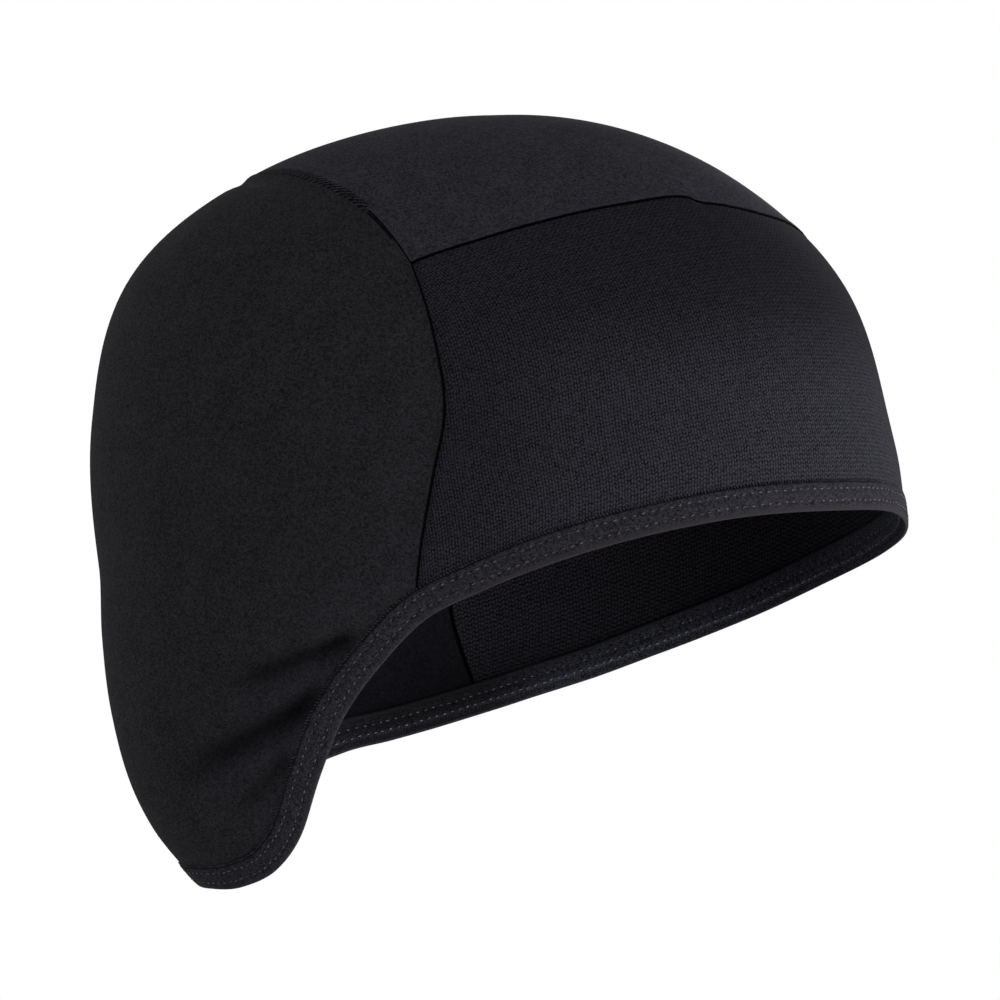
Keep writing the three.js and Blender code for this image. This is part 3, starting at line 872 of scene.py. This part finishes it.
# Waves beside the seams: half width and height, and for some how far from the seam they lie
RIPPLE_SWELL = (1.6, 0.07)
SIDE_SWELL = (1.5, 0.22)
FOREHEAD_SINK = (1.5, 0.2)
FOREHEAD_TOP_SINK = (2, 0.2)
GATHER_RIDGE = (1, 0.2, 1.2)
GATHER_HOLLOW = (2.2, 0.6, 4.4)

# The band of painted light low on the forehead, with painted shade above it, and how far round the
# painted shade and the painted light reach: the bearing at which each starts to fade, and the
# degrees over which it fades
LIGHT_BAND_TOP = 64
LIGHT_BAND_HEIGHT = 20
PAINTED_SHADE_BEARINGS = (35, 60)
PAINTED_LIGHT_BEARINGS = (70, 22)


def in_front(bearings, edge, fade):
    """1 in front, and less towards the back from a bearing on."""
    return 1 - smooth_step((np.abs(bearings) - edge) / fade)


def seam_ripple(distance, along, phase):
    """The small uneven waves that stitches leave beside a seam."""
    turn = 2 * np.pi * along / RIPPLE_PITCH
    slow = np.sin(turn / RIPPLE_SLOWER + phase)
    wave = np.sin(turn + RIPPLE_WANDER * slow + phase)
    return wave * (1 - RIPPLE_CHANGE + RIPPLE_CHANGE * slow) * swell(distance, *RIPPLE_SWELL)


def furrows(form, *distances):
    return sum(rolled(distance, *form) for distance in distances)


def gathering(along):
    """Where the cloth is gathered into the crown seam, at a length along it from its corner."""
    return smooth_step((along - GATHER_START) / GATHER_FADE)


def crown_furrow(distance, gathered):
    """The furrow of the crown seam, shallower where the cloth is gathered."""
    return furrows(FURROW, distance) * (1 - GATHER_FURROW_LOSS * gathered)


def side_panel(side, name):
    grid = PanelGrid(side_patch(side), *SIDE_CELLS)
    start, end, top = grid.from_start, grid.from_end, grid.from_top
    gathered = gathering(start)
    outer = CLOTH + furrows(FURROW, start, end) + crown_furrow(top, gathered)
    outer += swell(start, *SIDE_SWELL) + seam_ripple(start, grid.from_bottom, 0)
    outer += gathered * (swell(top, *GATHER_RIDGE) - swell(top, *GATHER_HOLLOW))
    doubled = np.abs(top - SECOND_LINE) + gathered + (start < DOUBLED_START)
    to_seam = np.minimum.reduce((start, end, top + gathered, doubled))
    inner = -furrows(INSIDE_FURROW, start, end, top)
    obj = grid.build(name, (brushed, brushed_inside), outer, inner, to_seam, grid.to_border())
    add_point_values(obj, Along=[start] * 2, Across=[top] * 2, Gather=[gathered] * 2)
    return obj


def forehead_painted_light(bearings, drops):
    """The ribbed cloth's painted light: 1 low on the forehead, 0 painted shade above, and half at
    the sides.
    """
    low = smooth_step((drops - LIGHT_BAND_TOP) / LIGHT_BAND_HEIGHT)
    paleness_and_painted_light = in_front(bearings, *PAINTED_LIGHT_BEARINGS)
    dim = in_front(bearings, *PAINTED_SHADE_BEARINGS)
    return 0.5 + 0.5 * (paleness_and_painted_light * low - dim * (1 - low))


def forehead_panel(name):
    grid = PanelGrid(forehead_patch(), *FOREHEAD_CELLS)
    # Painted light low on the forehead and painted shade above it
    grid.gleam = forehead_painted_light(*read_map(grid.places))
    start, end, top = grid.from_start, grid.from_end, grid.from_top
    outer = CLOTH + furrows(FURROW, start, end, top)
    outer += seam_ripple(top, start, 2) - swell(top, *FOREHEAD_TOP_SINK)
    outer -= swell(start, *FOREHEAD_SINK) + swell(end, *FOREHEAD_SINK)
    to_seam = np.minimum.reduce((start, end, top))
    inner = -furrows(INSIDE_FURROW, start, end, top)
    return grid.build(name, (ribbed, ribbed_inside), outer, inner, to_seam, grid.to_border())


def top_panel(name):
    """The top panel, whose turned edge under the cloth lifts a band along the forehead seam, with a
    painted highlight on it.
    """
    grid = PanelGrid(top_patch(), *TOP_CELLS)
    front, back = grid.from_bottom, grid.from_top
    body = np.clip((front + back) / CORNER_WIDTH, 0, 1)
    along = np.minimum(grid.from_start, grid.from_end)
    gathered = gathering(along)
    is_turned = 1 - smooth_step((front - TURNED_EDGE) / TURNED_FADE + 0.5)
    # A painted highlight along the turned edge
    grid.gleam = TURNED_PAINTED_HIGHLIGHT * is_turned
    seams = furrows(FURROW, front) + crown_furrow(back, gathered)
    outer = CLOTH + (seams + TURNED_HEIGHT * is_turned) * body
    outer += seam_ripple(front, grid.from_start, 1)
    to_seam = np.minimum(front, back + gathered)
    grid.cloth = grid.places * MM_PER_DEGREE
    inner = -furrows(INSIDE_FURROW, front, back) * body
    obj = grid.build(name, (top_knit, brushed_inside), outer, inner, to_seam, np.inf)
    add_point_values(obj, Along=[along] * 2, Across=[-back] * 2, Gather=[gathered] * 2)
    return obj


# The binding, folded round the edge

STATIONS = 2400
LENGTH_SAMPLES = 5120
BINDING_FOLD = 2.2
FOLD_ROUND = 0.45
FOLD_THICKNESS = 0.95
FOLD_SETBACK = 0.2
INSIDE_STEP = 1.1
INSIDE_STEP_TEETH = 0.2
RUN_OUT = 0.4
STITCH_ROWS = (5.1, 2.3)
STITCH_PITCH = 2.1
STITCH_DIP = (0.5, 0.2)
STITCH_DIP_CHANGE = 0.35
INSIDE_DIP_SHARE = 0.8
BORDER_PITCH = 0.76
BORDER_SLANT = 0.9
BORDER_WIDTH = 0.8
BORDER_DIP = 0.12
BORDER_TEETH = 0.3
# The painted shade along the binding's border, and its width
BORDER_DARK = 0.75
BORDER_DARK_WIDTH = 0.3
INSIDE_LINE_PLACE = 1.6
INSIDE_LINE_HALF_WIDTH = 0.35
INSIDE_LINE_DARK = 0.45
SMOOTH_EDGE = 1.5
SMOOTH_EDGE_FADE = 0.5
SMOOTH_AT_FRONT = 0.75
SMOOTH_AT_BACK = 0.25
SMOOTH_BEARINGS = (70, 50)
SMOOTH_INSIDE = 7.5
PALE_FADE = 0.8
PALE_SHARES = (0.1, 0.7)
INSIDE_PAINTED_LIGHT_BEARINGS = (76, 24)

# Columns round the binding's section, by their distance inside the edge: from, to and how many
OUTER_COLUMNS = (BINDING_WIDTH, FOLD_ROUND, 14)
INNER_COLUMNS = ((FOLD_ROUND, 2.5, 7), (3, 8.6, 9), (8.8, 8.96, 2))
FOLD_TURNS = np.linspace(0, np.pi, 5)[1:-1]

# Stations at equal lengths along the lower edge
fine_bearings = np.linspace(-180, 180, LENGTH_SAMPLES + 1)
fine_lengths = line_lengths(plain_point(fine_bearings, hem_drop(fine_bearings)))
hem_length = fine_lengths[-1]
station_lengths = np.arange(STATIONS) * hem_length / STATIONS
station_bearings = np.interp(station_lengths, fine_lengths, fine_bearings)
stitch_count = round(hem_length / STITCH_PITCH)
border_count = round(hem_length / BORDER_PITCH)


def border_teeth(along, slant=0):
    """A wave from 0 to 1 with the border's stitches."""
    return 0.5 + 0.5 * np.sin(2 * np.pi * (along * border_count / hem_length + slant))


def stitch_dips(across, along):
    """How deep the stitch rows pull the binding in."""
    tight = 1 + STITCH_DIP_CHANGE * np.cos(2 * np.pi * along * stitch_count / hem_length)
    return tight * sum(swell(across, *STITCH_DIP, row) for row in STITCH_ROWS)


def binding_outside(across, along):
    """Distance of the binding's outer face from the inside of the cloth."""
    level = CLOTH + BINDING_GAP + BINDING_LEG
    border = smooth_step((across - BINDING_WIDTH + BORDER_WIDTH) / BORDER_WIDTH)
    border_depth = BORDER_DIP + BORDER_TEETH * border_teeth(along, BORDER_SLANT * across)
    edge = FOLD_SETBACK * smooth_step((BINDING_FOLD - across) / BINDING_FOLD)
    return level - edge - stitch_dips(across, along) - border * border_depth


def binding_inside(across, along):
    """Distance of the binding's inner face from the inside of the cloth.

    It steps outwards where the panels end, and at its other edge it runs out on the cloth."""
    level = -BINDING_GAP - BINDING_LEG
    fold_level = CLOTH + BINDING_GAP + BINDING_LEG - FOLD_SETBACK - FOLD_THICKNESS
    uneven = INSIDE_STEP_TEETH * border_teeth(along)
    step = smooth_step((BINDING_FOLD - across + uneven) / INSIDE_STEP)
    run_out = (BINDING_LEG - BINDING_GAP) * smooth_step((across - INSIDE_WIDTH + RUN_OUT) / RUN_OUT)
    dips = INSIDE_DIP_SHARE * stitch_dips(across, along)
    return level + (fold_level - level) * step + dips + run_out


def outside_look(across):
    """The outer face's shade, smoothness, paleness and painted light: painted shade at its border,
    smooth at its fold.
    """
    dark = smooth_step((across - BINDING_WIDTH + BORDER_DARK_WIDTH) / BORDER_DARK_WIDTH)
    front = in_front(station_bearings, *SMOOTH_BEARINGS)
    strength = SMOOTH_AT_BACK + (SMOOTH_AT_FRONT - SMOOTH_AT_BACK) * front
    smooth = strength * smooth_step((SMOOTH_EDGE - across) / SMOOTH_EDGE_FADE)
    return 1 - BORDER_DARK * dark, smooth, 0, 0


def inside_look(across, along):
    """The same for the inner face: a dark line by the fold, pale at its end, and painted light in
    front.
    """
    dark = INSIDE_LINE_DARK * (1 + border_teeth(along))
    shade = 1 - swell(across, INSIDE_LINE_HALF_WIDTH, dark, INSIDE_LINE_PLACE)
    paleness_and_painted_light = PALE_SHARES[0] + PALE_SHARES[1] * smooth_step((across - SMOOTH_INSIDE) / PALE_FADE)
    return shade, 0, paleness_and_painted_light, in_front(station_bearings, *INSIDE_PAINTED_LIGHT_BEARINGS)


def hem_binding(name):
    along = station_lengths
    columns, looks = [], []

    def place(across, out, look):
        surface, outward = cloth_surface(hem_place(station_bearings, across))
        columns.append(surface + outward * np.broadcast_to(out, STATIONS)[:, None])
        looks.append([np.broadcast_to(value, STATIONS) for value in look])

    for across in np.linspace(*OUTER_COLUMNS):
        place(across, binding_outside(across, along), outside_look(across))
    top = binding_outside(FOLD_ROUND, along)
    bottom = binding_inside(FOLD_ROUND, along)
    for angle in FOLD_TURNS:
        out = (top + bottom) / 2 + (top - bottom) / 2 * np.cos(angle)
        place(FOLD_ROUND * (1 - np.sin(angle)), out, outside_look(0))
    for across in np.concatenate([np.linspace(*part) for part in INNER_COLUMNS]):
        place(across, binding_inside(across, along), inside_look(across, along))
    halfway = (INSIDE_WIDTH + BINDING_WIDTH) / 2
    for across in (INSIDE_WIDTH, halfway, BINDING_WIDTH, BINDING_FOLD):
        place(across, -BINDING_GAP, (1, 0, 1, 0))
    # The faces that stand against the cloth get full painted shade
    for across in (BINDING_FOLD, BINDING_WIDTH):
        place(across, CLOTH + BINDING_GAP, (0, 0, 0, 0))
    points = np.stack(columns, axis=1)
    index = np.arange(points[..., 0].size).reshape(points.shape[:2])
    after = np.roll(index, -1, axis=0)
    faces = quads(index, np.roll(index, -1, axis=1), np.roll(after, -1, axis=1), after)
    obj = make_object(name, points, faces, binding_knit)
    steps = np.linalg.norm(np.diff(points, axis=1), axis=-1).mean(axis=0)
    round_section = np.concatenate(([0], np.cumsum(steps)))
    cloth = np.stack(np.meshgrid(along, round_section, indexing="ij"), axis=-1)
    add_cloth_map(obj, cloth)
    shade, smooth, paleness_and_painted_light, gleam = np.moveaxis(np.array(looks), 0, -1)
    seam = np.ones(index.shape)
    add_point_values(obj, Shade=shade, Smooth=smooth, Pale=paleness_and_painted_light, Gleam=gleam, Seam=seam)
    return obj


# Stitches. A thread's rings stand at shares of its half length, each with a share of its radius.

THREAD_SIDES = 6
THREAD_RINGS = ((-1, 0.25), (-0.8, 0.75), (-0.45, 1), (0.45, 1), (0.8, 0.75), (1, 0.25))
THREAD_END = ((5, 4, 3, 2), (5, 2, 1, 0))
THREAD_RADIUS = 0.15
STITCH_LENGTH = 0.85
STITCH_LIFT = 0.06
BORDER_LENGTH = 1
BORDER_LIFT = 0.2
BORDER_DIRECTION = (0.6, 0.8)
SMALL_TURN = 0.2

# How far stitches stray along, across and in their direction, and the seeds of the random draws
STITCH_SPREADS = (0.1, 0.07, 0.12)
BORDER_SPREAD = 0.05
STITCH_SEED = 5
BORDER_SEED = 11


def capsules(name, centres, directions, normals, length, *materials):
    """Many short round-ended threads in one mesh."""
    angles = np.arange(THREAD_SIDES) * 2 * np.pi / THREAD_SIDES
    across = np.cross(normals, directions)
    rings = []
    for share, wide in THREAD_RINGS:
        middle = centres + directions * (share * length / 2)
        for angle in angles:
            offset = across * math.cos(angle) + normals * math.sin(angle)
            rings.append(middle + offset * (THREAD_RADIUS * wide))
    points = np.stack(rings, axis=1)
    count, each = points.shape[:2]
    index = np.arange(each).reshape(len(THREAD_RINGS), THREAD_SIDES)
    turned = np.roll(index, -1, axis=1)
    sides = quads(index[:-1], turned[:-1], turned[1:], index[1:])
    ends = np.array(THREAD_END)
    template = np.concatenate((sides, ends, ends[:, ::-1] + each - THREAD_SIDES))
    faces = (template[None] + np.arange(count)[:, None, None] * each).reshape(-1, 4)
    return make_object(name, points, faces, *materials)


def hem_frame(along, across):
    """The cloth inside the hem: points, outward, along the edge and inwards from the edge."""
    lengths = np.append(station_lengths, hem_length)
    bearing = np.interp(along % hem_length, lengths, np.append(station_bearings, 180))
    surface, outward = cloth_surface(hem_place(bearing, across))
    ahead, _ = cloth_surface(hem_place(bearing + SMALL_TURN, across))
    forward = unit(ahead - surface)
    return surface, outward, forward, np.cross(forward, outward)


def hem_stitches(name):
    """The two stitch rows through the binding, as they show on both of its faces."""
    chance = np.random.default_rng(STITCH_SEED)
    centres, directions, normals = [], [], []
    for row in STITCH_ROWS:
        for level, side in ((binding_outside, 1), (binding_inside, -1)):
            strays = [chance.normal(0, spread, stitch_count) for spread in STITCH_SPREADS]
            along = (np.arange(stitch_count) + 0.5) * hem_length / stitch_count + strays[0]
            across = row + strays[1]
            surface, outward, forward, inwards = hem_frame(along, across)
            out = level(across, along) + side * STITCH_LIFT
            centres.append(surface + outward * out[:, None])
            directions.append(unit(forward + inwards * strays[2][:, None]))
            normals.append(outward)
    parts = [np.concatenate(part) for part in (centres, directions, normals)]
    obj = capsules(name, *parts, STITCH_LENGTH, thread, inside_thread)
    count = len(obj.data.polygons)
    in_each = count // (2 * len(STITCH_ROWS))
    obj.data.polygons.foreach_set("material_index", np.arange(count) // in_each % 2)
    return obj


def hem_border(name):
    """The small slanted stitches that hold the binding's border."""
    chance = np.random.default_rng(BORDER_SEED)
    strays = [chance.normal(0, BORDER_SPREAD, border_count) for _ in range(2)]
    along = (np.arange(border_count) + 0.5) * hem_length / border_count + strays[0]
    across = BINDING_WIDTH + BORDER_OUTSIDE + strays[1]
    surface, outward, forward, inwards = hem_frame(along, across)
    centres = surface + outward * (CLOTH + BORDER_LIFT)
    directions = unit(forward * BORDER_DIRECTION[0] + inwards * BORDER_DIRECTION[1])
    return capsules(name, centres, directions, outward, BORDER_LENGTH, border_thread)


forehead = forehead_panel("forehead_panel_cloth")
top = top_panel("top_panel_cloth")
side_right = side_panel(RIGHT, "side_panel_right_cloth")
side_left = side_panel(LEFT, "side_panel_left_cloth")
binding = hem_binding("hem_binding_cloth")
stitches = hem_stitches("hem_stitches")
border = hem_border("hem_border_stitches")


# The floor, the light and the camera, with distances in metres

CAMERA_TARGET = (0.0, 0.0, -0.0935)
CAMERA_AZIMUTH = -85.6
CAMERA_ELEVATION = -10.5
CAMERA_DISTANCE = 0.8
CAMERA_LENS = 118.08
CAMERA_SENSOR = 36
FLOOR_HEIGHT = -1.6
FLOOR_HALF = 1.6
FLOOR_PAINT = {
    "Base Color": (0.8, 0.8, 0.8, 1),
    "Roughness": 0.9,
    "Specular IOR Level": 0.1,
}
# Where each light comes from, the cosine at which it fades out, and its strength
LIGHTS = (
    ((-0.2, 0, 1), 0, 0.15),
    ((-0.3, 0.6, 0.8), 0, 0.76),
    ((0, 1, 0), 0.6, 1.3),
    ((0.12, -0.85, -0.55), 0.8, 11.5),
    ((-0.4, -0.8, -0.4), 0.8, 3.8),
    ((-0.6, -0.8, 0.05), 0.85, 2.2),
    ((-0.3, -1, 0), 0.85, 1.0),
    ((0.7, -0.6, -0.35), 0.8, 2.0),
    ((0.25, 0.78, -0.5), 0.85, 1.2),
)
EVEN_LIGHT = 0.06
WHITE = (1, 1, 1, 1)


def add_floor():
    corners = np.array([(-1, -1), (1, -1), (1, 1), (-1, 1)]) * FLOOR_HALF
    points = np.insert(corners, 2, FLOOR_HEIGHT, axis=1) / MM
    nodes = MaterialNodes("floor_paint")
    nodes.feed(nodes.shader, FLOOR_PAINT)
    make_object("floor", points, np.arange(4)[None], nodes.material)


def add_world():
    """A studio of soft lights from above, before and behind, which the camera sees as white."""
    world = bpy.data.worlds.new("studio")
    world.use_nodes = True
    nodes = Nodes(world.node_tree)
    nodes.tree.nodes.clear()
    direction = nodes.add("ShaderNodeTexCoord", {})["Generated"]
    glow = EVEN_LIGHT
    for towards, edge, strength in LIGHTS:
        both = {0: direction, 1: Vector(towards).normalized()}
        facing = nodes.add("ShaderNodeVectorMath", both, operation="DOT_PRODUCT")["Value"]
        inputs = {"Value": facing, "From Min": edge, "To Max": strength}
        lobe = nodes.add("ShaderNodeMapRange", inputs, interpolation_type="SMOOTHSTEP")["Result"]
        glow = nodes.plus(lobe, glow)
    light = nodes.add("ShaderNodeBackground", {"Color": WHITE, "Strength": glow})[0]
    backdrop = nodes.add("ShaderNodeBackground", {"Color": WHITE})[0]
    is_camera = nodes.add("ShaderNodeLightPath", {})["Is Camera Ray"]
    either = nodes.add("ShaderNodeMixShader", {0: is_camera, 1: light, 2: backdrop})[0]
    nodes.add("ShaderNodeOutputWorld", {"Surface": either})
    bpy.context.scene.world = world


def add_camera():
    around = math.radians(CAMERA_AZIMUTH)
    up = math.radians(CAMERA_ELEVATION)
    back = Vector((math.sin(around) * math.cos(up), -math.cos(around) * math.cos(up), math.sin(up)))
    camera = bpy.data.cameras.new("camera")
    camera.lens = CAMERA_LENS
    camera.sensor_width = CAMERA_SENSOR
    obj = bpy.data.objects.new("camera", camera)
    bpy.context.scene.collection.objects.link(obj)
    target = Vector(CAMERA_TARGET)
    obj.location = target + back * CAMERA_DISTANCE
    obj.rotation_euler = (target - obj.location).to_track_quat("-Z", "Y").to_euler()
    bpy.context.scene.camera = obj


add_floor()
add_world()
add_camera()
bpy.context.scene.view_settings.view_transform = "Standard"


# Each piece hangs from the root, and the part of model.glb in its place is hidden

PIECES = (
    (forehead, "forehead_panel", "ribbed_knit"),
    (top, "top_panel", "top_knit"),
    (side_right, "side_panel_right", "brushed_knit"),
    (side_left, "side_panel_left", "brushed_knit"),
    (binding, "hem_binding", "binding_knit"),
)
for obj, node, slot in PIECES:
    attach(obj, "root")
    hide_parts(node)
for obj in (stitches, border):
    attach(obj, "root")
